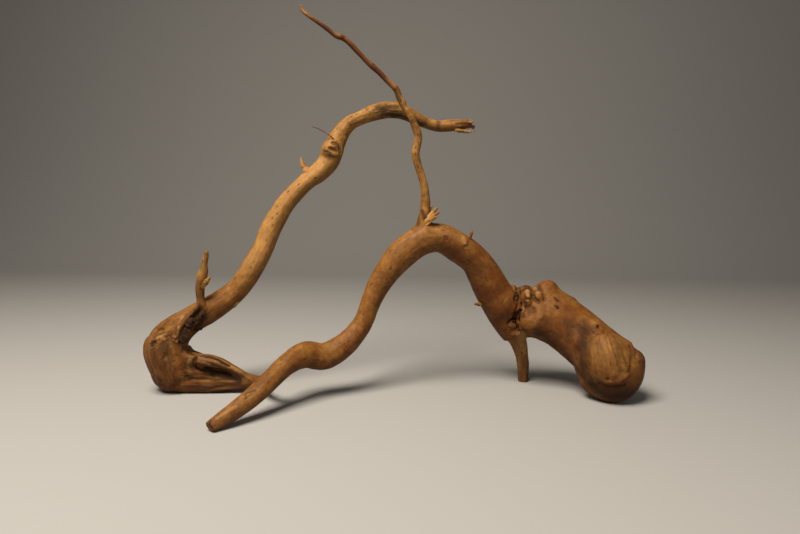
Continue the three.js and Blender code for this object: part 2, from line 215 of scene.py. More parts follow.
# Marks on the wood: the line or point of the mark, its half width, its height (carved in below 0)
# and how far it darkens the wood (or, below 0, pales it)
MARKS = [
    # Torn seam between the arch and the crown, with the dark hole at its foot
    # Painted shadow: the seam and the hole at its foot are darkened where the arch overlaps the crown
    ([(121, 62, 92), (114.5, 51.3, 93.9), (114.0, 44.5, 88.0), (112.2, 36.4, 81.7), (112.3, 32.9, 74.8),
      (111.2, 34.8, 66.9), (109.5, 39.9, 59.1)], 1.9, -2.2, 1.0),
    ([(109.7, 39.5, 66), (108.5, 40, 61.5), (109, 40, 57)], 2.4, -1.6, 1.0),
    ([(110, 39.5, 68), (108, 41, 57)], 4.5, 0.0, 0.7),
    # Lumps, gap and ridge of the collar
    # The raised lumps and ridge are paled as painted highlights, and the carved gaps darkened as painted
    # shade
    ([(119, 42.9, 91.3)], 2.8, 1.2, -0.3),
    ([(120, 36, 89.5)], 2.2, 1.0, -0.35),
    ([(119, 32.4, 86.0)], 3.0, 1.2, -0.3),
    ([(117, 31.6, 79.5)], 2.6, 1.0, -0.25),
    ([(129.2, 45.2, 90.4)], 3.0, 1.2, -0.35),
    ([(129.5, 33.8, 88.2)], 3.0, 1.3, -0.3),
    ([(123, 50, 93), (125.5, 42.2, 88.5), (124.5, 34.0, 85.2), (126.7, 30.8, 82.7), (128.9, 30.3, 81.4)],
     1.4, -1.8, 0.95),
    ([(133, 46, 92), (133.5, 38, 89), (134, 30, 83.5)], 1.6, -1.0, 0.5),
    ([(124.7, 30.8, 77.5), (128.6, 28.5, 77.2), (129.9, 26.0, 71.8), (129.1, 26.0, 65.8),
      (125.5, 25.4, 60.0)],
     2.8, 1.0, -0.14),
    ([(120, 31, 77), (124, 29, 71)], 3.0, -0.7, 0.25),
    # Pits and the rimmed eye of the crown
    # The raised rim is paled as a painted highlight, and the carved eye and pits darkened as painted shade
    ([(174.7, 16.6, 65.0)], 3.4, 0.9, -0.3),
    ([(177.5, 15.1, 63.0)], 1.5, -3.0, 1.0),
    ([(143.6, 30.9, 84.7), (146.0, 28.4, 83.0)], 1.2, -0.8, 1.0),
    ([(142.8, 25, 78.6), (144.8, 23.6, 77.0)], 1.1, -0.8, 1.0),
    ([(177, -12, 24.5)], 1.2, -1.6, 0.95),
    # Streaks fanning down the pale blunt burl
    ([(177, 5, 61), (170, -5, 50), (169, -9, 36)], 0.9, -0.3, 0.2),
    ([(179, 5, 61), (181.5, -9, 50), (184, -13, 36)], 0.8, -0.3, 0.15),
    ([(182, 6, 60), (190, -5, 49), (192, -9, 34)], 1.1, -0.4, 0.22),
    ([(184, 9, 60), (195, 0, 47), (197, -5, 36)], 1.5, -0.4, 0.22),
    # Wide pale patches on the front of the burl: partly its paler wood and partly a painted highlight
    ([(178, -4, 55), (179, -10, 46), (178, -13, 36)], 10.0, 0.0, -0.1),
    ([(172, -10, 32)], 6.0, 0.0, -0.16),
    # Lip with its bumps, the line under it and the dark chin
    # The lip's bumps are paled as painted highlights
    ([(175.9, -9.5, 22.8), (181.0, -10.6, 22.8), (186.0, -11.7, 23.4), (191.2, -11.8, 26.2),
      (194.2, -10.6, 30)],
     1.9, 0.9, -0.12),
    ([(189.0, -9.5, 33.4)], 3.2, 0.8, -0.12),
    ([(181.0, -13.2, 29.5)], 2.6, 0.6, -0.2),
    ([(188.5, -11.7, 27.0)], 2.8, 0.9, -0.12),
    # Painted shade, partly darker wood, along the line under the lip and the chin beside it
    ([(173.5, -7.2, 20.4), (176.4, -8.5, 18.9), (181.3, -10.3, 18.3), (187.5, -11.8, 19),
      (191.6, -11.6, 20.4)],
     1.7, -1.3, 0.85),
    ([(160, 8, 26), (164, 1, 20), (170, -6, 18)], 5.5, 0.0, 0.85),
    ([(204.5, 9, 42), (206, 3, 34), (202, -6, 27)], 7.0, 0.0, 0.42),
    # Painted shadow line between the burl and the right lobe
    ([(197.4, 1.2, 47.5), (197.7, -4.2, 39), (194.5, -9.5, 31)], 1.5, -0.6, 0.5),
    # Painted shade under the chin, partly darker wood
    ([(168, -2, 16), (172.8, -3.9, 12.2), (177.9, -5.6, 9), (183.5, -5.8, 6.8), (190.1, -9.5, 9.0),
      (198, -7, 11)],
     9.5, 0.0, 0.95),
    # Painted shade: the dark band left of the burl, the darkened dip above it and the shaded throat
    ([(163.8, 13.1, 60.1), (161.2, 6.2, 53.0), (160.4, 2.6, 42.5), (161.6, 2.4, 31.1), (164.5, 2, 22.3)],
     6.5, -0.8, 0.8),
    ([(152.9, 17.2, 61.3), (157.3, 14.8, 58.2), (155.8, 18.3, 50.1)], 5.0, -0.3, 0.5),
    ([(129.2, 27.8, 53.6), (137.7, 31.5, 48.3), (144.4, 28.2, 44.7), (150.7, 24.1, 39.8),
      (157.5, 21.2, 31.7)],
     8.0, 0.0, 0.75),
    ([(133.6, 24.1, 68.0), (138.5, 24.6, 57.4), (147.8, 24.7, 44.1)], 2.4, -0.6, 0.3),
    # Hollow, crevice and torn wood of the hub and foot
    # Painted shade in the hub's hollow, partly darker wood
    ([(-194.0, 8.6, 42.9), (-194.1, 8.3, 34.4), (-193.5, 7.9, 25.8)], 2.6, -0.3, 0.45),
    ([(-186.0, 9.6, 41.3), (-186.4, 9.8, 31.2)], 2.2, -0.3, 0.4),
    ([(-190.5, 9, 42), (-190.2, 9, 28)], 7.5, 0.0, 0.5),
    # Painted shadow along the crevice under the tall stem
    ([(-162, 13, 73), (-165, 10, 68), (-169.5, 7.2, 60.7), (-173, 6.8, 54),
      (-175, 7.5, 48.5)], 3.9, -0.6, 1.0),
    ([(-158, 13.5, 70), (-163, 17, 62), (-167, 16, 56.5), (-169.5, 11, 53)], 3.4, 0.0, 0.95),
    ([(-162.5, 13.2, 72.5), (-166.0, 8.7, 65.4), (-169.2, 7.5, 59.9), (-172.0, 7.1, 54.3),
      (-174, 7.7, 48.8)], 3.2, -3.4, 1.0),
    ([(-171.0, 11.7, 50.4), (-167.1, 17.0, 55.0), (-162.7, 25.2, 57.7), (-157.4, 27.0, 58.9)], 4.5, 0.0, 0.8),
    # Painted highlight on the pale ridge beside the crevice
    ([(-178.4, 17.6, 65.7), (-179.4, 16.1, 61.6), (-178, 8.6, 57.5), (-179, 8.5, 52.0)], 1.6, 0.8, -0.4),
    ([(-186, 17, 64), (-192, 16, 60)], 4.0, 0.3, 0.12),
    ([(-199.1, 7.8, 47.4), (-200.7, 6.5, 45.5)], 2.0, -1.2, 0.9),
    ([(-200, 15.4, 56.0), (-194.4, 14.0, 56.1)], 1.6, -0.9, 0.65),
    ([(-171.0, 10.2, 30.8), (-173.6, 13.0, 24.6), (-172.0, 12.2, 19.0)], 1.8, 0.7, -0.25),
    ([(-164.9, 9.5, 35.4), (-157.2, 11.8, 34.6), (-149.3, 13.4, 32.0), (-138.1, 13.8, 24.7),
      (-127.0, 14.4, 17.3), (-117.3, 9.8, 13.7)], 1.3, 0.8, -0.25),
    ([(-164.2, 9.2, 30.1), (-156.7, 9.7, 27.9), (-150.4, 15.5, 24.5)], 1.5, 1.0, -0.28),
    ([(-162, 13, 33.2), (-152, 13, 31.5), (-140, 15, 24.2)], 1.0, -1.1, 0.8),
    # Painted shade in the foot's hollow
    ([(-158.9, 15.7, 21.6), (-152.2, 17.0, 18.6), (-145.4, 18.2, 16.5), (-138.2, 18.3, 14.0),
      (-130, 16.5, 12)],
     3.4, -0.9, 0.95),
    ([(-166.1, 8.8, 34.1), (-167.2, 10.6, 28.3), (-167.2, 15.0, 23.9), (-163.0, 15.1, 21.2)], 1.4, -2.0, 1.0),
    ([(-172.5, 13.1, 13.8), (-161.5, 14.4, 13.2), (-150.0, 14.8, 12.3), (-136, 15, 12)], 0.9, -0.9, 0.6),
    # Painted shade where the foot passes behind the leg
    ([(-118, 12, 12), (-112, 9, 12)], 8.0, 0.0, 0.6),
    # Ring scar and pale knob on top of the arch
    ([(44.7, 24.4, 138.1), (47.9, 25.0, 137.6), (47.2, 24.7, 135.0), (45.3, 24.3, 135.3),
      (44.7, 24.4, 138.1)],
     0.7, -0.6, 0.6),
    ([(40.9, 25.0, 142.6), (49.6, 26.5, 140.9), (58.6, 29.0, 138.3)], 4.0, 0.0, -0.2),
    ([(62.5, 30.6, 136.1), (63.0, 28.3, 132.5)], 2.4, 0.8, -0.35),
    ([(66.7, 31.5, 133.8), (65.5, 29.1, 130.3), (62.5, 28.3, 129.5)], 1.3, -0.6, 0.4),
    ([(25.3, 26.8, 158.7), (27.0, 25.9, 153.6), (30.5, 25.2, 151.0)], 1.8, -0.5, 0.7),
    ([(22.9, 29.6, 154.3), (24, 29, 149)], 2.4, -0.3, 0.5),
    # Scar on the leg and the cut tip
    ([(-108.4, -48.5, 21.7), (-106.1, -47.4, 23.2), (-101.0, -45.5, 23.1)], 0.8, -0.6, 0.5),
    ([(-108.4, -48.5, 21.7), (-106.5, -51.0, 19.9), (-102.0, -47.5, 21.1)], 0.7, -0.4, 0.35),
    ([(-128.9, -68.9, 8.4), (-126.5, -72.0, 4.5), (-125.8, -70.3, 0)], 1.3, -0.5, 0.8),
    ([(-124, -67, 9.5), (-120.9, -64.5, 11.0), (-113, -57, 14.5)], 1.0, 0.3, -0.3),
    # Pale front of the tall stem: partly its paler wood and partly painted light
    ([(-124, 29, 110), (-115, 31, 124), (-108, 35, 143), (-97, 39, 163), (-88, 41, 174)], 9.0, 0.0, -0.32),
    ([(-78, 43, 186), (-67, 45, 195), (-59, 47, 203)], 8.0, 0.0, -0.36),
    # Eye knot of the tall stem, and the scar on its bend
    ([(-60.5, 46.5, 209), (-57, 45.0, 207), (-52, 46.3, 206.5)], 2.8, -1.2, 0.78),
    ([(-61, 46.5, 211), (-57.5, 45, 210), (-51, 46, 209.2)], 0.8, -0.8, 1.0),
    ([(-53.3, 46.6, 218.4), (-49, 47.4, 216), (-46.5, 48, 211)], 1.5, -1.8, 1.0),
    ([(-15, 55.3, 250.5), (-10, 55.2, 249.8), (-4.4, 56, 251.5), (4, 57.5, 252)], 2.2, -0.9, 0.75),
    # Painted shade along the underside of the bend
    ([(-9, 55.6, 246), (-1.7, 57.8, 244.8), (5.5, 58.9, 244.2), (14, 60.7, 241.5),
      (24, 62, 238)], 6.0, 0.0, 1.0),
    # Painted highlight on the bend
    ([(-33, 56, 246), (-22, 55.2, 247.6)], 5.0, 0.0, -0.12),
    ([(40.1, 63.3, 240.8), (40.4, 62.2, 236.3), (40.3, 65.1, 233.0)], 1.7, -0.35, 0.65),
    ([(57, 62.5, 238.5), (66, 63, 238.3), (73, 65, 237)], 1.6, -0.7, 0.6),
    ([(60, 64, 234.4), (68, 64, 233.8), (74, 65, 234.4)], 1.0, -1.2, 0.95),
    ([(-18, 55.3, 248.2), (-8, 55.6, 249.4), (4, 57, 250.4)], 0.6, -0.6, 0.95),
    ([(-14.2, 54.9, 246.4), (-5.3, 55.4, 247.9), (3.7, 56.8, 247.6)], 0.8, -0.5, 0.7),
    # Dark patches and knots of the shoot
    ([(1.1, 18.6, 260.4)], 2.4, 0.9, 0.25),
    ([(11.2, 21.2, 251.3)], 2.2, 0.6, 0.15),
    ([(15.5, 20.7, 235.8)], 2.6, 0.7, 0.25),
    ([(-17.1, 17.7, 279.1)], 2.2, 0.8, 0.4),
    ([(-43.1, 15.0, 300.2)], 2.2, 0.8, 0.4),
    ([(26.7, 25.4, 174.0)], 2.6, 0.6, 0.25),
    ([(28, 26, 160)], 2.6, 0.5, -0.3),
    # Painted shade along the shaded underside of the shoot's upper half
    ([(-26, 17, 286), (-36, 15, 295)], 2.4, 0.0, 0.3),
    ([(4, 20, 252), (-8, 18, 264), (-22, 17, 277), (-40, 15, 293), (-66, 12, 310)], 2.4, 0.0, 0.62),
    ([(21.5, 22, 201), (19.5, 22, 206)], 2.4, 0.2, 0.35),
    ([(21, 22, 219), (21, 22, 224)], 2.0, 0.3, 0.3),
    # Pale flank of the peg, painted as a highlight, and its foot darkened towards the floor
    ([(116, 42, 52), (121.6, 51.5, 42), (123.3, 54.3, 32)], 4.5, 0.3, -0.6),
    ([(124.8, 60, 4), (124, 60, 12)], 9.0, 0.0, 0.55),
]

# Crumbled places: a line, how far the crumbling reaches, its depth and the size of a crumb
CRUMBLED = [
    ([(123, 56, 96), (119.5, 42.9, 92), (120, 32.4, 86.8), (118.5, 31.6, 79)], 4.4, 1.3, 4.8),
    ([(118, 31.6, 79), (116.5, 32.6, 74), (116, 32, 69)], 2.6, 1.0, 5.0),
    ([(-200.5, 6.0, 44.9), (-199.0, 9.2, 48.5), (-196.3, 11.2, 49.5), (-190.7, 11.4, 49.5),
      (-185.5, 12.6, 49.3), (-179, 8.0, 49.2)], 3.8, 1.5, 4.0),
    ([(-163, 16, 106), (-160, 15, 118)], 3.0, 0.6, 3.0),
    ([(62, 67, 238), (72, 67, 239)], 5.0, 0.7, 3.0),
]

# Thorn, spurs and splinters, laid out like a limb's route, with their shade
SPURS = {
    "thorn": ([(-69, 53, 190, 6), (-75, 51, 192, 4.6), (-79, 50, 197, 2.8), (-81.5, 49, 202, 1.5),
               (-82, 49, 206, 0.5)], 0.9),
    "arch_spur": ([(64, 38, 128, 5), (66.5, 36, 134, 2.8), (69, 35, 140, 1.4), (70, 34.5, 143, 0.5)], 0.5),
    "seam_spur": ([(85, 48, 77, 4), (80, 47, 76, 2.2), (74.5, 46, 76, 0.5)], 0.4),
    "stem_spur": ([(-142, 31, 76, 4), (-137.5, 28, 75.5, 1.6), (-133.5, 25, 78.5, 0.4)], 0.8),
    "sprig_nub_right": ([(-161, 15, 94, 2.6), (-157, 14, 98, 2.2), (-153.5, 14, 102, 0.8)], 0.9),
}
SPLINTERS = {
    "fan_a": [(27, 30, 148, 3.2), (33, 27, 156, 2.2), (38.5, 25, 163, 0.5)],
    "fan_b": [(27, 29, 149, 3.2), (34, 26.5, 155, 2.2), (40.5, 26, 159.5, 0.5)],
    "fan_c": [(27, 29, 148, 3.0), (33, 25.5, 152.5, 1.9), (39, 24, 155.5, 0.5)],
    "fan_d": [(28, 31, 150, 2.4), (31, 30, 157, 1.5), (34, 29, 164, 0.5)],
    "fan_e": [(28, 29, 148, 2.0), (34, 26.5, 155.5, 1.1), (37, 25.5, 161, 0.4)],
    "fan_f": [(26, 28, 144, 2.0), (31, 25.5, 149, 1.2), (37.5, 24.5, 153.5, 0.4)],
    "end_low": [(56, 65.5, 234.0, 2.2), (64, 65, 232.6, 1.2), (70, 64.5, 231.8, 0.8), (74.5, 64, 232.4, 0.3)],
    "end_top": [(64, 66, 239.2, 2.4), (70, 65.5, 240.6, 1.3), (73.6, 65, 241.2, 0.3)],
}
ROOTLET = [(-50, 50, 219, 0.6), (-53, 48, 222, 0.5), (-58, 47, 226, 0.45), (-63, 47, 229, 0.4),
           (-67, 48, 231, 0.35), (-72, 49, 232.5, 0.3)]
SPUR_SIDES = 10
SPUR_STEP = 0.9

# Tones of the wood
RUSSET = (0.19, 0.053, 0.006)
TAN = (0.5, 0.228, 0.042)
STRAW = (0.7, 0.37, 0.12)
UMBER = (0.06, 0.02, 0.006)
# The near-black below is the tone of cracks and of the painted shade
CRACK_AND_SHADE_BLACK = (0.012, 0.006, 0.004)

# Broad swells of the surface and fine unevenness: wavelength and height
SWELL = (14, 0.5)
DIMPLE = (5, 0.16)

# Painted light: how far painted shade darkens the undersides, and how far the upper sides are painted paler
# and the lower sides darker
PAINTED_UNDERSIDE_SHADE = 0.5
PAINTED_TOP_LIGHT = 0.13

# Ridges of the grain: length and width of one ridge
RIDGE = (30, 2.9)

# How fast one limb's grain gives way to the next one's, and how far the limbs melt together
BLEND = 1.6
MELT = 5.0

# Points further than this from a limb aren't its own
FAR = 30.0

# Rounds of settling on the smooth surface, the most that a point sinks or rises in all, and the
# height over that surface from which a point belongs to a spur and stays where it is
SETTLINGS = 2
SINKING, RISING = 4.6, 2.8
SPUR_HEIGHT = (0.9, 1.8)
CHUNK = 20000

# Reach round a spur's line within which wood is the spur's, step of a mark's line laid on the skin
# and how far from the line the skin is looked for
SPUR_REACH = 5.0
LINE_STEP = 2.0
LINE_REACH = 14.0

# Height of the grain's ridges where the fibre is 1, and the steps in and out of one rounding
RIDGE_HEIGHT = 1.4
ROUND_STEPS = (0.6, -0.62)

# Floor and backdrop, in metres
FLOOR_FRONT, FLOOR_BACK, FLOOR_BEND, BACKDROP_TOP, FLOOR_WIDTH = -2.5, 0.9, 0.6, 2.6, 6.0
BEND_STEPS = 12

# Lights: place, the point that each is aimed at, size and colour, in metres
KEY_LIGHT = (-0.3, -0.42, 0.98), (0, 0.04, 0.12), 0.5, (1, 0.94, 0.85)
FILL_LIGHT = (0.9, -0.7, 0.45), (0.05, 0.04, 0.1), 0.8, (1, 1, 1)
SKY_COLOUR = (1, 0.97, 0.93, 1)

# Camera: its place in metres, and how far it is turned aside, down and about its own line of sight
CAMERA_PLACE = (0.0053, -0.4605, 0.1604)
CAMERA_TURNS = (0.19, 5.79, 0.64)


class RootSkinSettings(bpy.types.PropertyGroup):
    """Size of the wood skin's detail"""

    voxel: FloatProperty(
        name="Voxel", description="Size of the cells that the skin is first made of",
        default=0.0006, min=0.0003, max=0.003, precision=5, unit="LENGTH")
    triangles: IntProperty(
        name="Triangles", description="Triangles that the finished skin may have", default=190000, min=1000)
    rounding: IntProperty(
        name="Rounding", description="Steps that round the facets off", default=12, min=0, max=400)
    relief: FloatProperty(
        name="Relief", description="Height of the grown relief, 1 as found", default=1.0, min=0.0, max=4.0,
        subtype="FACTOR")


class RootWoodSettings(bpy.types.PropertyGroup):
    """Tones of the wood"""

    russet: FloatVectorProperty(
        name="Russet", description="Wood of the arch and crown", default=RUSSET, size=3, min=0, max=1,
        subtype="COLOR")
    tan: FloatVectorProperty(
        name="Tan", description="Wood of the tall stem and shoot", default=TAN, size=3, min=0, max=1,
        subtype="COLOR")
    # Also the tone of the painted highlights on ridges, crumbs and lumps
    straw: FloatVectorProperty(
        name="Straw", description="Torn and worn wood", default=STRAW, size=3, min=0, max=1,
        subtype="COLOR")
    umber: FloatVectorProperty(
        name="Umber", description="Dark streaks of the grain", default=UMBER, size=3, min=0, max=1,
        subtype="COLOR")
    # Near-black of cracks, pits and crevices, and of the painted shade on undersides, in hollows and in the
    # grain's furrows
    crack_and_shade_black: FloatVectorProperty(
        name="Crack and shade black", description="Cracks, pits and crevices", default=CRACK_AND_SHADE_BLACK, size=3, min=0, max=1,
        subtype="COLOR")


class RootStageSettings(bpy.types.PropertyGroup):
    """Floor, lights and camera"""

    floor: FloatVectorProperty(
        name="Floor", description="Colour of the floor and backdrop", default=(0.42, 0.4, 0.37), size=3,
        min=0, max=1, subtype="COLOR")
    key: FloatProperty(
        name="Key light", description="Power of the soft light above", default=17.5, min=0, unit="POWER")
    fill: FloatProperty(
        name="Fill light", description="Power of the weak light at the side", default=0.9, min=0,
        unit="POWER")
    sky: FloatProperty(
        name="Surround", description="Strength of the even light all round", default=0.09, min=0)
    lens: FloatProperty(
        name="Lens", description="Focal length of the camera, in millimetres", default=25.425, min=1)


def grid_noise(points, seed):
    """Smooth noise from -1 to 1 at each point, from numbers drawn at the corners of a unit grid"""
    cell = np.floor(points).astype(np.int64)
    part = points - cell
    ease = part * part * (3 - 2 * part)
    total = np.zeros(len(points))
    for corner in itertools.product((0, 1), repeat=3):
        x, y, z = (cell + corner).T
        mixed = (x * 73856093 ^ y * 19349663 ^ z * 83492791 ^ seed * 2654435761) & 0xFFFFFFFF
        mixed = ((mixed ^ (mixed >> 15)) * 2246822519) & 0xFFFFFFFF
        mixed = ((mixed ^ (mixed >> 13)) * 3266489917) & 0xFFFFFFFF
        value = ((mixed ^ (mixed >> 16)) & 0xFFFF) / 32767.5 - 1
        total += value * np.prod(np.where(corner, ease, 1 - ease), axis=1)
    return total


def layered_noise(points, seed, layers=3):
    """Noise with finer noise laid on it"""
    total = np.zeros(len(points))
    for layer in range(layers):
        total += grid_noise(points * 2.03 ** layer + 17.3 * layer, seed + layer) * 0.5 ** layer
    return total / (2 - 0.5 ** (layers - 1))


def smooth_line(stations, step):
    """Points about a step apart on a smooth line through the stations, radius included"""
    knots = np.array(stations, float)
    knots = np.vstack([2 * knots[0] - knots[1], knots, 2 * knots[-1] - knots[-2]])
    found = []
    for p0, p1, p2, p3 in zip(knots, knots[1:], knots[2:], knots[3:]):
        gaps = [max(np.linalg.norm((b - a)[:3]), 1e-6) ** 0.5 for a, b in ((p0, p1), (p1, p2), (p2, p3))]
        t0, t1 = 0.0, gaps[0]
        t2, t3 = t1 + gaps[1], t1 + gaps[1] + gaps[2]
        count = max(2, int(np.linalg.norm((p2 - p1)[:3]) / step))
        t = np.linspace(t1, t2, count, endpoint=False)[:, None]
        a1 = (t1 - t) / (t1 - t0) * p0 + (t - t0) / (t1 - t0) * p1
        a2 = (t2 - t) / (t2 - t1) * p1 + (t - t1) / (t2 - t1) * p2
        a3 = (t3 - t) / (t3 - t2) * p2 + (t - t2) / (t3 - t2) * p3
        b1 = (t2 - t) / (t2 - t0) * a1 + (t - t0) / (t2 - t0) * a2
        b2 = (t3 - t) / (t3 - t1) * a2 + (t - t1) / (t3 - t1) * a3
        found.append((t2 - t) / (t2 - t1) * b1 + (t - t1) / (t2 - t1) * b2)
    found.append(knots[-2][None])
    line = np.vstack(found)
    line[:, 3] = np.maximum(line[:, 3], 0.2)
    return line


class Spine:
    """Smooth middle line of a limb, with a pair of cross directions that don't twist along it"""

    def __init__(self, stations, step=1.0):
        line = smooth_line(stations, step)
        self.points, self.radius = line[:, :3], line[:, 3]
        self.ahead = np.gradient(self.points, axis=0)
        self.ahead /= np.linalg.norm(self.ahead, axis=1)[:, None]
        steps = np.linalg.norm(np.diff(self.points, axis=0), axis=1)
        self.along = np.concatenate([[0], np.cumsum(steps)])
        side = np.cross(self.ahead[0], (0.31, 0.83, 0.46))
        sides = []
        for ahead in self.ahead:
            side = side - ahead * side.dot(ahead)
            side = side / np.linalg.norm(side)
            sides.append(side)
        self.side = np.array(sides)
        self.other = np.cross(self.ahead, self.side)

    def nearest(self, points):
        """Index of the spine's point nearest to each point"""
        found = np.empty(len(points), int)
        square = (self.points ** 2).sum(1)
        for start in range(0, len(points), CHUNK):
            part = points[start:start + CHUNK]
            found[start:start + CHUNK] = (square - 2 * part @ self.points.T).argmin(1)
        return found

    def place(self, points):
        """Each point as length along the limb and two lengths across it, with its height over the limb"""
        index = self.nearest(points)
        away = points - self.points[index]
        across = (away * self.side[index]).sum(1), (away * self.other[index]).sum(1)
        along = self.along[index] + (away * self.ahead[index]).sum(1)
        radius = np.interp(along, self.along, self.radius)
        height = np.maximum(np.hypot(*across) - radius, np.maximum(-along, along - self.along[-1]))
        return np.column_stack([along, *across]), height


def egg_height(points, centre, half, turns):
    """Height of each point over an egg shape, below 0 inside it"""
    turn = np.array(Euler([math.radians(angle) for angle in turns]).to_matrix())
    local = (points - centre) @ turn
    far = np.linalg.norm(local / half, axis=1)
    steep = np.linalg.norm(local / np.square(half), axis=1)
    return far * (far - 1) / np.maximum(steep, 1e-6)


def melted(one, two, reach):
    """Height over two shapes grown together, with a soft fold where they meet"""
    fold = np.maximum(reach - np.abs(one - two), 0) / reach
    return np.minimum(one, two) - fold * fold * reach / 4


class Growth:
    """Where each point of the skin lies on the limbs: shares, grain places, shade and fibre"""

    def __init__(self, points):
        count = (len(LIMBS), len(points))
        heights, places = np.full(count, FAR), np.zeros((*count, 3))
        shades, fibres = np.zeros(count), np.zeros(count)
        for number, limb in enumerate(LIMBS.values()):
            near = close_to(points, np.array(limb["route"])[:, :3], FAR)
            spine = Spine(limb["route"])
            place, height = spine.place(points[near])
            way = np.clip(place[:, 0] / spine.along[-1], 0, 1)
            heights[number, near] = np.minimum(height, FAR)
            places[number, near] = place + (137 * number, 0, 0)
            shades[number, near] = np.interp(way, np.linspace(0, 1, len(limb["shade"])), limb["shade"])
            fibres[number, near] = np.interp(way, np.linspace(0, 1, len(limb["fibre"])), limb["fibre"])
        self.heights = heights
        share = np.exp(-(heights - heights.min(0)) / BLEND)
        self.share = share / share.sum(0)
        self.places = places
        self.shade = (self.share * shades).sum(0)
        self.fibre = (self.share * fibres).sum(0)
        self.first = self.share.argmax(0)
        ranked = np.sort(self.share, axis=0)
        self.calm = np.clip((ranked[-1] - ranked[-2]) * 1.5, 0, 1)

    def over_surface(self, points):
        """Height of each point over the smooth surface of the whole root"""
        whole = self.heights[0]
        for height in self.heights[1:]:
            whole = melted(whole, height, MELT)
        for *egg, reach in SWELLINGS:
            whole = melted(whole, egg_height(points, *egg), reach)
        for *egg, reach in HOLLOWS:
            whole = -melted(-whole, egg_height(points, *egg), reach)
        return whole

    def grain(self):
        """Grain place on the nearest limb"""
        return self.places[self.first, np.arange(self.places.shape[1])]

    def ridges(self):
        """Sharp-edged ridges along the grain, from -1 to 1, each limb's own"""
        total = np.zeros(self.places.shape[1])
        for number, (place, share) in enumerate(zip(self.places, self.share)):
            near = share > 0.02
            lay = place[near] / (RIDGE[0], RIDGE[1], RIDGE[1])
            fine = place[near] / (RIDGE[0] * 0.5, RIDGE[1] * 0.5, RIDGE[1] * 0.5)
            wave = grid_noise(lay, 5 + number) * 0.75 + grid_noise(fine, 25 + number) * 0.35
            total[near] += share[near] * wave
        return total


def line_distance(points, line):
    """Distance from each point to a line of straight pieces, or to a single point"""
    line = np.array(line, float)
    nearest = np.linalg.norm(points - line[0], axis=1)
    for start, end in zip(line, line[1:]):
        run = end - start
        way = np.clip((points - start) @ run / max(run.dot(run), 1e-9), 0, 1)
        nearest = np.minimum(nearest, np.linalg.norm(points - start - way[:, None] * run, axis=1))
    return nearest


def close_to(points, line, reach):
    """Which points lie in the box round a line"""
    line = np.array(line, float)
    return ((points > line.min(0) - reach) & (points < line.max(0) + reach)).all(1)


def laid_on(points, line):
    """The line in short steps, each brought onto the nearest point of the skin"""
    line = np.array(line, float)
    steps = [line[:1]]
    for start, end in zip(line, line[1:]):
        count = max(1, round(np.linalg.norm(end - start) / LINE_STEP))
        steps.append(start + (end - start) * (np.arange(1, count + 1) / count)[:, None])
    line = np.vstack(steps)
    near = points[close_to(points, line, LINE_REACH)]
    return np.array([near[((near - spot) ** 2).sum(1).argmin()] for spot in line])


class Relief:
    """Marks and crumbled places, laid on the skin"""

    def __init__(self, points):
        self.marks = [(laid_on(points, line), *rest) for line, *rest in MARKS]
        self.crumbled = [(laid_on(points, line), *rest) for line, *rest in CRUMBLED]

    def at(self, points):
        """Height, darkening and paling of each point"""
        height, dark, pale = np.zeros((3, len(points)))
        for line, reach, depth, size in self.crumbled:
            near = close_to(points, line, 2 * reach)
            spot = points[near]
            fade = np.clip(1.5 - line_distance(spot, line) / reach + 0.4 * grid_noise(spot / reach, 71), 0, 1)
            fade = fade * fade * (3 - 2 * fade)
            crumb = np.clip(1.9 * np.abs(layered_noise(spot / size, 81, 2)), 0, 1)
            height[near] += depth * fade * (crumb - 0.4)
            # Painted shade in the hollows between crumbs; the crumb tops are paled, partly as pale torn wood
            # and partly as painted highlights
            dark[near] = np.maximum(dark[near], 0.75 * fade * (1 - crumb) ** 2)
            pale[near] = np.maximum(pale[near], 0.6 * fade * crumb)
        for line, width, rise, tint in self.marks:
            near = close_to(points, line, 3 * width + 2)
            if not near.any():
                continue
            spot = points[near]
            away = line_distance(spot, line) + 0.35 * width * grid_noise(spot / (0.9 * width + 0.6), 91)
            height[near] += rise * np.exp(-(away / width) ** 2)
            # A mark's darkening and paling, among them the painted shade and painted highlights noted in the
            # table
            tone = abs(tint) * np.exp(-(away / (1.2 * width)) ** (4 if width < 4 else 2))
            tinted = dark if tint > 0 else pale
            tinted[near] = np.maximum(tinted[near], tone)
        return height, dark, np.clip(pale - dark, 0, 1)


def read_mesh(mesh):
    """Points of a mesh, in millimetres, and its edges"""
    points = np.empty(len(mesh.vertices) * 3, np.float32)
    mesh.vertices.foreach_get("co", points)
    edges = np.empty(len(mesh.edges) * 2, np.int32)
    mesh.edges.foreach_get("vertices", edges)
    return points.reshape(-1, 3).astype(float) / MM, edges.reshape(-1, 2)


def write_points(mesh, points):
    """Puts the mesh's points, given in millimetres, in their places"""
    mesh.vertices.foreach_set("co", (points * MM).astype(np.float32).ravel())
    mesh.update()


def point_normals(mesh):
    """Direction straight out of the surface at each point"""
    normals = np.empty(len(mesh.vertices) * 3, np.float32)
    mesh.vertex_normals.foreach_get("vector", normals)
    return normals.reshape(-1, 3).astype(float)


def neighbour_mean(points, edges, count):
    """Middle of each point's neighbours"""
    one, two = edges.T
    total = np.empty_like(points)
    for axis in range(3):
        column = points[:, axis]
        total[:, axis] = np.bincount(one, column[two], len(points))
        total[:, axis] += np.bincount(two, column[one], len(points))
    return total / count[:, None]


def rounded(points, edges, steps):
    """The points evened out by steps in and out in turn, so that the body keeps its girth"""
    count = np.bincount(edges.ravel(), minlength=len(points)).astype(float)
    for _ in range(steps):
        for pull in ROUND_STEPS:
            points = points + pull * (neighbour_mean(points, edges, count) - points)
    return points


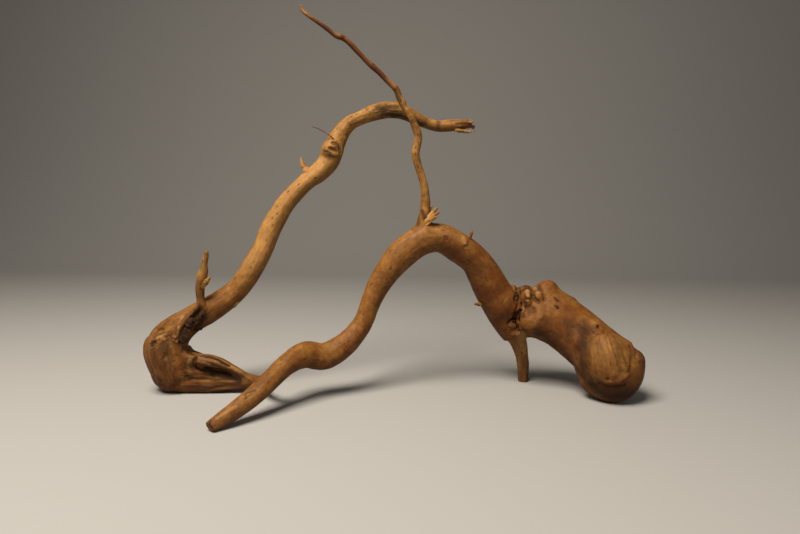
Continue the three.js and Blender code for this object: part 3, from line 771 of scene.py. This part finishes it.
def baked(piece, kind, **settings):
    """A modifier of that kind put on the piece and made part of its mesh"""
    modifier = piece.modifiers.new(kind.title(), kind)
    for name, value in settings.items():
        setattr(modifier, name, value)
    bpy.context.view_layer.update()
    evaluated = piece.evaluated_get(bpy.context.evaluated_depsgraph_get())
    mesh = bpy.data.meshes.new_from_object(evaluated)
    piece.modifiers.clear()
    old, piece.data = piece.data, mesh
    bpy.data.meshes.remove(old)
    return mesh


def new_piece(name, bm):
    """An object of that name from a finished bmesh"""
    mesh = bpy.data.meshes.new(name)
    bm.to_mesh(mesh)
    bm.free()
    piece = bpy.data.objects.new(name, mesh)
    bpy.context.scene.collection.objects.link(piece)
    return piece


def set_attribute(mesh, name, values):
    """One number or one vector a point, kept in the mesh for its material"""
    kind, field = ("FLOAT", "value") if values.ndim == 1 else ("FLOAT_VECTOR", "vector")
    attribute = mesh.attributes.get(name) or mesh.attributes.new(name, kind, "POINT")
    attribute.data.foreach_set(field, values.astype(np.float32).ravel())


def stain(mesh, growth, relief, points):
    """Writes shade, darkness, paleness and grain of the wood into the mesh, with painted shade on its
    undersides and in the grain's furrows and painted light on its upper sides and the grain's crests
    """
    _, dark, pale = relief.at(points)
    up = point_normals(mesh)[:, 2] + 0.35 * layered_noise(points / 11, 41)
    # Painted shade: undersides darkened by the way each point faces
    dark = np.maximum(dark, PAINTED_UNDERSIDE_SHADE * np.clip(0.1 - up, 0, 1) ** 0.7)
    ridge = growth.ridges()
    rough = np.clip((growth.fibre - 0.2) / 0.5, 0, 1)
    # Painted shade in the furrows of the grain's ridges, and painted highlights on their crests
    furrow_shade = np.clip(-ridge - 0.2, 0, 1) * rough
    crest_highlight = np.clip(ridge - 0.25, 0, 1) * rough
    # Painted light: upper sides paler and lower sides darker, by the way each point faces
    set_attribute(mesh, "shade", np.clip(growth.shade + PAINTED_TOP_LIGHT * np.clip(up - 0.3, -0.6, 0.7), 0, 1))
    set_attribute(mesh, "dark", np.clip(np.maximum(dark, 1.4 * furrow_shade), 0, 1))
    set_attribute(mesh, "pale", np.clip(pale + 0.9 * crest_highlight, 0, 1))
    set_attribute(mesh, "fibre", growth.fibre * growth.calm)
    set_attribute(mesh, "grain", growth.grain() * MM)


def round_spurs(points):
    """Which points lie round a spur or splinter"""
    found = np.zeros(len(points), bool)
    for stations in (*(stations for stations, _ in SPURS.values()), *SPLINTERS.values()):
        line = np.array(stations)[:, :3]
        near = np.flatnonzero(close_to(points, line, SPUR_REACH))
        found[near[line_distance(points[near], line) < SPUR_REACH]] = True
    return found


def settled(mesh, points, edges):
    """The points moved onto the smooth surface of the root, apart from the spurs on it"""
    moved = np.zeros(len(points))
    for _ in range(SETTLINGS):
        write_points(mesh, points)
        over = Growth(points).over_surface(points)
        spur = np.clip((over - SPUR_HEIGHT[0]) / (SPUR_HEIGHT[1] - SPUR_HEIGHT[0]), 0, 1)
        step = np.clip(-over * (1 - spur * round_spurs(points)), -SINKING - moved, RISING - moved)
        moved += step
        points = rounded(points + point_normals(mesh) * step[:, None], edges, 5)
    return points


def skin_mesh(settings):
    """The wood skin: the solid's copy, rounded, given its grown relief and thinned"""
    bm = bmesh.new()
    bm.from_mesh(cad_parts[NODE].data)
    bmesh.ops.remove_doubles(bm, verts=bm.verts, dist=1e-6)
    for centre, half, turns, _ in SWELLINGS + FILLINGS:
        turn = Euler([math.radians(angle) for angle in turns]).to_matrix().to_4x4()
        place = Matrix.Translation(Vector(centre) * MM) @ turn @ Matrix.Diagonal((*half, 1))
        bmesh.ops.create_uvsphere(bm, u_segments=32, v_segments=20, radius=MM, matrix=place)
    piece = new_piece("root_skin", bm)
    mesh = baked(piece, "REMESH", mode="VOXEL", voxel_size=settings.voxel, adaptivity=0.0)
    points, edges = read_mesh(mesh)
    points = rounded(points, edges, settings.rounding)
    points = settled(mesh, points, edges)
    write_points(mesh, points)
    growth, relief = Growth(points), Relief(points)
    height = SWELL[1] * layered_noise(points / SWELL[0], 3)
    height += DIMPLE[1] * layered_noise(points / DIMPLE[0], 7)
    height += growth.fibre * growth.ridges() * RIDGE_HEIGHT
    height += relief.at(points)[0]
    points = points + point_normals(mesh) * (settings.relief * height)[:, None]
    points[:, 2] = np.maximum(points[:, 2], 0)
    write_points(mesh, points)
    share = settings.triangles / (2 * len(mesh.polygons))
    mesh = baked(piece, "DECIMATE", ratio=min(1.0, share))
    points, _ = read_mesh(mesh)
    stain(mesh, Growth(points), relief, points)
    mesh.shade_smooth()
    return piece


def grow_spur(bm, stations, layers, shade, pale=0.0, fibre=0.3, seed=1, sides=SPUR_SIDES):
    """A spur or splinter: a ring pulled from station to station along its smooth line"""
    spine = Spine(stations, SPUR_STEP)
    draw = np.random.default_rng(seed)
    flat = 1 + 0.18 * draw.uniform(-1, 1, 2)
    face, last, girth = None, None, 0.0
    for index, point in enumerate(spine.points):
        columns = spine.side[index], spine.other[index], spine.ahead[index]
        place = Matrix.Translation(Vector(point) * MM) @ Matrix(columns).transposed().to_4x4()
        wobble = 1 + 0.08 * draw.uniform(-1, 1)
        size = spine.radius[index] * MM * wobble
        if face is None:
            made = bmesh.ops.create_circle(bm, cap_ends=True, segments=sides, radius=size, matrix=place)
            verts = made["verts"]
            face = verts[0].link_faces[0]
            turn = place @ Matrix.Diagonal((flat[0], flat[1], 1, 1)) @ place.inverted()
        else:
            made = bmesh.ops.extrude_face_region(bm, geom=[face])["geom"]
            verts = [item for item in made if isinstance(item, bmesh.types.BMVert)]
            face = next(item for item in made if isinstance(item, bmesh.types.BMFace))
            turn = place @ Matrix.Scale(size / girth, 4) @ last.inverted()
        bmesh.ops.transform(bm, matrix=turn, verts=verts)
        last, girth = place, size
        local = place.inverted()
        for vert in verts:
            across = local @ vert.co
            vert[layers["grain"]] = Vector((spine.along[index] * MM + 0.37 * seed, across.x, across.y))
            vert[layers["shade"]] = shade
            vert[layers["pale"]] = pale
            vert[layers["fibre"]] = fibre


def wood_layers(bm):
    """The wood's own values at each point of a bmesh"""
    layers = {name: bm.verts.layers.float.new(name) for name in ("shade", "dark", "pale", "fibre")}
    layers["grain"] = bm.verts.layers.float_vector.new("grain")
    return layers


def finish_piece(piece, material):
    """Material, smooth shading and body of a piece"""
    piece.data.materials.clear()
    piece.data.materials.append(material)
    piece.data.shade_smooth()
    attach(piece, BODY)


def add_node(tree, kind, settings=None, **inputs):
    """A node with its settings and the values of its sockets, each a number, a colour or a link"""
    node = tree.nodes.new(kind)
    for name, value in (settings or {}).items():
        setattr(node, name, value)
    for name, value in inputs.items():
        socket = node.inputs[int(name[1:])] if name[0] == "i" and name[1:].isdigit() else node.inputs[name]
        if isinstance(value, bpy.types.NodeSocket):
            tree.links.new(value, socket)
        else:
            socket.default_value = value
    return node


def maths(tree, operation, one, two=0.0, clamp=False):
    """The outcome of a sum on two sockets or numbers"""
    settings = {"operation": operation, "use_clamp": clamp}
    return add_node(tree, "ShaderNodeMath", settings, i0=one, i1=two).outputs[0]


def blend_colours(tree, share, one, two):
    """One colour giving way to another by a share"""
    one, two = (value if isinstance(value, bpy.types.NodeSocket) else (*value, 1.0) for value in (one, two))
    return add_node(tree, "ShaderNodeMix", {"data_type": "RGBA"}, i0=share, i6=one, i7=two).outputs[2]


def eased(tree, value, low, high, start=0.0, end=1.0):
    """A value between two limits turned into an eased one from start to end"""
    settings = {"interpolation_type": "SMOOTHSTEP"}
    node = add_node(tree, "ShaderNodeMapRange", settings, i0=value, i1=low, i2=high, i3=start, i4=end)
    return node.outputs[0]


def new_group(name, inputs, outputs):
    """A node group, what its input node gives and what its output node takes"""
    tree = bpy.data.node_groups.new(name, "ShaderNodeTree")
    for label, kind, value in inputs:
        socket = tree.interface.new_socket(label, in_out="INPUT", socket_type=kind)
        if value is not None:
            socket.default_value = value
    for label in outputs:
        tree.interface.new_socket(label, in_out="OUTPUT", socket_type="NodeSocketFloat")
    return tree, tree.nodes.new("NodeGroupInput").outputs, tree.nodes.new("NodeGroupOutput").inputs


def drawn_out(tree, given):
    """The group's place with its first length shortened, so that a pattern on it is drawn out"""
    split = add_node(tree, "ShaderNodeSeparateXYZ", i0=given["Vector"])
    along = maths(tree, "DIVIDE", split.outputs[0], given["Stretch"])
    _, one, two = split.outputs
    return add_node(tree, "ShaderNodeCombineXYZ", i0=along, i1=one, i2=two).outputs[0]


def grain_group():
    """Node group: streaks drawn out along the grain, and the fine fibres in them"""
    name = "Wood grain"
    if name in bpy.data.node_groups:
        return bpy.data.node_groups[name]
    inputs = [("Vector", "NodeSocketVector", None), ("Scale", "NodeSocketFloat", 300.0),
              ("Stretch", "NodeSocketFloat", 10.0)]
    tree, given, out = new_group(name, inputs, ["Streaks", "Fibres"])
    lay = drawn_out(tree, given)
    broad = add_node(tree, "ShaderNodeTexNoise", Vector=lay, Scale=given["Scale"], Detail=4.0, Roughness=0.6,
                     Distortion=0.3)
    quick = maths(tree, "MULTIPLY", given["Scale"], 4.0)
    fine = add_node(tree, "ShaderNodeTexNoise", Vector=lay, Scale=quick, Detail=3.0, Roughness=0.6)
    tree.links.new(eased(tree, broad.outputs[0], 0.32, 0.68), out["Streaks"])
    tree.links.new(eased(tree, fine.outputs[0], 0.3, 0.7), out["Fibres"])
    return tree


def speck_group():
    """Node group: small dark pits strewn over the wood"""
    name = "Wood pits"
    if name in bpy.data.node_groups:
        return bpy.data.node_groups[name]
    inputs = [("Vector", "NodeSocketVector", None), ("Scale", "NodeSocketFloat", 250.0),
              ("Stretch", "NodeSocketFloat", 2.0), ("Share", "NodeSocketFloat", 0.3),
              ("Size", "NodeSocketFloat", 0.3)]
    tree, given, out = new_group(name, inputs, ["Pits"])
    cells = add_node(tree, "ShaderNodeTexVoronoi", Vector=drawn_out(tree, given), Scale=given["Scale"])
    draw = add_node(tree, "ShaderNodeSeparateColor", i0=cells.outputs["Color"])
    chosen = maths(tree, "LESS_THAN", draw.outputs[0], given["Share"])
    reach = maths(tree, "MULTIPLY", given["Size"], maths(tree, "ADD", draw.outputs[1], 0.5))
    inside = maths(tree, "SUBTRACT", 1.0, maths(tree, "DIVIDE", cells.outputs["Distance"], reach), clamp=True)
    soft = eased(tree, inside, 0.0, 0.5)
    tree.links.new(maths(tree, "MULTIPLY", soft, chosen), out["Pits"])
    return tree


def mottle_group():
    """Node group: soft blotches, broad and small"""
    name = "Wood mottling"
    if name in bpy.data.node_groups:
        return bpy.data.node_groups[name]
    inputs = [("Vector", "NodeSocketVector", None), ("Scale", "NodeSocketFloat", 60.0)]
    tree, given, out = new_group(name, inputs, ["Blotches", "Spots"])
    broad = add_node(tree, "ShaderNodeTexNoise", Vector=given["Vector"], Scale=given["Scale"], Detail=3.0,
                     Roughness=0.55, Distortion=0.4)
    quick = maths(tree, "MULTIPLY", given["Scale"], 5.0)
    small = add_node(tree, "ShaderNodeTexNoise", Vector=given["Vector"], Scale=quick, Detail=4.0,
                     Roughness=0.65)
    tree.links.new(eased(tree, broad.outputs[0], 0.34, 0.66), out["Blotches"])
    tree.links.new(eased(tree, small.outputs[0], 0.35, 0.65), out["Spots"])
    return tree


def group_node(tree, group, **inputs):
    """What a node group gives for these inputs"""
    return add_node(tree, "ShaderNodeGroup", {"node_tree": group}, **inputs).outputs


def attribute(tree, name):
    """A value kept in the mesh, as a number and as a vector"""
    return add_node(tree, "ShaderNodeAttribute", {"attribute_name": name}).outputs


def new_material(name):
    """A new material, with its node tree and its shader"""
    material = bpy.data.materials.new(name)
    material.use_nodes = True
    return material, material.node_tree, material.node_tree.nodes["Principled BSDF"]


def wood_material(tones, name="Root wood"):
    """Bare satin wood: russet to tan, with streaks, blotches, pits, dark cracks, painted shade and painted
    highlights
    """
    if name in bpy.data.materials:
        return bpy.data.materials[name]
    material, tree, shader = new_material(name)
    plus, times = partial(maths, tree, "ADD"), partial(maths, tree, "MULTIPLY")
    umber, straw, crack_and_shade_black = tuple(tones.umber), tuple(tones.straw), tuple(tones.crack_and_shade_black)
    place = add_node(tree, "ShaderNodeTexCoord").outputs["Object"]
    along = attribute(tree, "grain")["Vector"]
    shade, dark, pale, fibre = (attribute(tree, label)["Fac"] for label in ("shade", "dark", "pale", "fibre"))
    grain = group_node(tree, grain_group(), Vector=along, Scale=330.0, Stretch=11.0)
    mottle = group_node(tree, mottle_group(), Vector=place, Scale=70.0)
    cloud = group_node(tree, mottle_group(), Vector=place, Scale=150.0)["Blotches"]
    specks = partial(group_node, tree, speck_group(), Vector=along)
    pits = specks(Scale=420.0, Stretch=2.2, Share=plus(times(shade, 0.25), 0.03), Size=0.32)["Pits"]
    dots = specks(Scale=950.0, Stretch=2.0, Share=0.4, Size=0.34)["Pits"]

    shift = times(maths(tree, "SUBTRACT", mottle["Blotches"], 0.5), 0.36)
    colour = blend_colours(tree, plus(shade, shift, clamp=True), tuple(tones.russet), tuple(tones.tan))
    layers = [
        (times(grain["Streaks"], plus(times(fibre, 1.3), 0.08)), umber),
        (times(times(grain["Fibres"], shade), 0.22), straw),
        (times(mottle["Spots"], 0.3), umber),
        (times(cloud, 0.28), umber),
        (times(dots, plus(times(shade, 0.45), 0.08)), umber),
        # Paleness: pale torn wood and painted highlights
        (times(pale, 0.7), straw),
        (times(pits, 0.7), umber),
        # Darkness: cracks and pits, and painted shade on undersides, in hollows and in the grain's furrows
        (times(dark, 0.92), crack_and_shade_black),
    ]
    for share, tone in layers:
        colour = blend_colours(tree, share, colour, tone)
    tree.links.new(colour, shader.inputs["Base Color"])

    rough = plus(0.46, times(grain["Streaks"], 0.12))
    tree.links.new(plus(rough, times(dark, 0.3), clamp=True), shader.inputs["Roughness"])
    height = times(grain["Fibres"], plus(times(fibre, 2.0), 0.1))
    height = maths(tree, "SUBTRACT", plus(height, times(mottle["Spots"], 0.35)), pits)
    bump = add_node(tree, "ShaderNodeBump", Strength=0.55, Distance=0.0004, Height=height)
    tree.links.new(bump.outputs[0], shader.inputs["Normal"])
    shader.inputs["Specular IOR Level"].default_value = 0.17
    return material


def rootlet_material(tones):
    """Thin dry bark of the hair rootlet"""
    material, tree, shader = new_material("Rootlet bark")
    place = add_node(tree, "ShaderNodeTexCoord").outputs["Object"]
    mottle = group_node(tree, mottle_group(), Vector=place, Scale=180.0)
    colour = blend_colours(tree, mottle["Blotches"], tuple(tones.umber), tuple(tones.russet))
    tree.links.new(colour, shader.inputs["Base Color"])
    bump = add_node(tree, "ShaderNodeBump", Strength=0.5, Distance=0.0002, Height=mottle["Spots"])
    tree.links.new(bump.outputs[0], shader.inputs["Normal"])
    shader.inputs["Roughness"].default_value = 0.7
    return material


class ROOT_OT_skin(bpy.types.Operator):
    """Grow the wood skin of the whole root"""

    bl_idname = "root.skin"
    bl_label = "Wood skin"

    def execute(self, context):
        piece = skin_mesh(context.scene.root_skin)
        finish_piece(piece, wood_material(context.scene.root_wood))
        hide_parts(NODE)
        return {"FINISHED"}


class ROOT_OT_spurs(bpy.types.Operator):
    """Grow the thorn, the spurs and the nubs"""

    bl_idname = "root.spurs"
    bl_label = "Thorn and spurs"

    def execute(self, context):
        for seed, (name, (stations, shade)) in enumerate(SPURS.items(), start=1):
            bm = bmesh.new()
            grow_spur(bm, stations, wood_layers(bm), shade, pale=0.15, seed=seed)
            bmesh.ops.recalc_face_normals(bm, faces=bm.faces)
            finish_piece(new_piece("spur_" + name, bm), wood_material(context.scene.root_wood))
        return {"FINISHED"}


class ROOT_OT_splinters(bpy.types.Operator):
    """Split the splinters at the foot of the shoot and at the broken end of the tall stem"""

    bl_idname = "root.splinters"
    bl_label = "Splinters"

    def execute(self, context):
        bm = bmesh.new()
        layers = wood_layers(bm)
        for seed, stations in enumerate(SPLINTERS.values(), start=31):
            grow_spur(bm, stations, layers, 0.85, pale=0.3, seed=seed, sides=7)
        bmesh.ops.recalc_face_normals(bm, faces=bm.faces)
        finish_piece(new_piece("splinters", bm), wood_material(context.scene.root_wood))
        return {"FINISHED"}


class ROOT_OT_rootlet(bpy.types.Operator):
    """Draw the hair rootlet at the eye knot"""

    bl_idname = "root.rootlet"
    bl_label = "Hair rootlet"

    def execute(self, context):
        bm = bmesh.new()
        grow_spur(bm, ROOTLET, wood_layers(bm), 0.3, seed=77, sides=6)
        bmesh.ops.recalc_face_normals(bm, faces=bm.faces)
        finish_piece(new_piece("hair_rootlet", bm), rootlet_material(context.scene.root_wood))
        return {"FINISHED"}


def floor_piece(colour):
    """Pale floor that curves up behind into a backdrop"""
    bm = bmesh.new()
    profile = [(FLOOR_FRONT, 0.0), (FLOOR_BACK, 0.0)]
    for step in range(1, BEND_STEPS + 1):
        turn = step / BEND_STEPS * math.pi / 2
        profile.append((FLOOR_BACK + FLOOR_BEND * math.sin(turn), FLOOR_BEND - FLOOR_BEND * math.cos(turn)))
    profile.append((FLOOR_BACK + FLOOR_BEND, BACKDROP_TOP))
    verts = [bm.verts.new((-FLOOR_WIDTH / 2, y, z)) for y, z in profile]
    edges = [bm.edges.new(pair) for pair in zip(verts, verts[1:])]
    grown = bmesh.ops.extrude_edge_only(bm, edges=edges)["geom"]
    moved = [item for item in grown if isinstance(item, bmesh.types.BMVert)]
    bmesh.ops.translate(bm, verts=moved, vec=(FLOOR_WIDTH, 0, 0))
    bmesh.ops.recalc_face_normals(bm, faces=bm.faces)
    piece = new_piece("floor", bm)
    piece.data.shade_smooth()
    material, _, shader = new_material("Pale floor")
    shader.inputs["Base Color"].default_value = (*colour, 1)
    shader.inputs["Roughness"].default_value = 0.85
    piece.data.materials.append(material)


def soft_light(name, power, place, target, size, colour):
    """A square soft light aimed at a point"""
    data = bpy.data.lights.new(name, "AREA")
    data.shape, data.size, data.energy, data.color = "SQUARE", size, power, colour
    light = bpy.data.objects.new(name, data)
    light.location = place
    light.rotation_euler = (Vector(target) - Vector(place)).to_track_quat("-Z", "Y").to_euler()
    bpy.context.scene.collection.objects.link(light)


def aim_camera(lens):
    """The camera, at the angle that the root is seen from"""
    data = bpy.data.cameras.new("camera")
    data.lens, data.sensor_width, data.clip_start = lens, 36.0, 0.01
    camera = bpy.data.objects.new("camera", data)
    yaw, pitch, roll = (math.radians(turn) for turn in CAMERA_TURNS)
    turn = Matrix.Rotation(-yaw, 4, "Z") @ Matrix.Rotation(math.pi / 2 - pitch, 4, "X")
    camera.matrix_world = Matrix.Translation(CAMERA_PLACE) @ turn @ Matrix.Rotation(roll, 4, "Z")
    bpy.context.scene.collection.objects.link(camera)
    bpy.context.scene.camera = camera


class ROOT_OT_stage(bpy.types.Operator):
    """Set the floor, the soft lights and the camera"""

    bl_idname = "root.stage"
    bl_label = "Stage"

    def execute(self, context):
        settings = context.scene.root_stage
        floor_piece(tuple(settings.floor))
        soft_light("key", settings.key, *KEY_LIGHT)
        soft_light("fill", settings.fill, *FILL_LIGHT)
        world = bpy.data.worlds.new("surround")
        world.use_nodes = True
        background = world.node_tree.nodes["Background"]
        background.inputs["Color"].default_value = SKY_COLOUR
        background.inputs["Strength"].default_value = settings.sky
        context.scene.world = world
        context.scene.view_settings.view_transform = "Standard"
        aim_camera(settings.lens)
        return {"FINISHED"}


class ROOT_PT_panel(bpy.types.Panel):
    """Lists the steps that make the root, with their sizes and tones"""

    bl_label = "Spiderwood Root"
    bl_idname = "ROOT_PT_panel"
    bl_space_type = "VIEW_3D"
    bl_region_type = "UI"
    bl_category = "Root"

    def draw(self, context):
        scene = context.scene
        for settings in (scene.root_skin, scene.root_wood, scene.root_stage):
            box = self.layout.box()
            for name in settings.bl_rna.properties.keys():
                if name not in {"rna_type", "name"}:
                    box.prop(settings, name)
        for operator in OPERATORS:
            self.layout.operator(operator.bl_idname)


SETTINGS = {"root_skin": RootSkinSettings, "root_wood": RootWoodSettings, "root_stage": RootStageSettings}
OPERATORS = (ROOT_OT_skin, ROOT_OT_spurs, ROOT_OT_splinters, ROOT_OT_rootlet, ROOT_OT_stage)
CLASSES = (*SETTINGS.values(), *OPERATORS, ROOT_PT_panel)


def register():
    for item in CLASSES:
        bpy.utils.register_class(item)
    for name, settings in SETTINGS.items():
        setattr(bpy.types.Scene, name, PointerProperty(type=settings))


def unregister():
    for name in SETTINGS:
        delattr(bpy.types.Scene, name)
    for item in reversed(CLASSES):
        bpy.utils.unregister_class(item)


def main():
    """Makes every piece in order"""
    register()
    bpy.ops.root.skin()
    bpy.ops.root.spurs()
    bpy.ops.root.splinters()
    bpy.ops.root.rootlet()
    bpy.ops.root.stage()


if __name__ == "__main__":
    main()
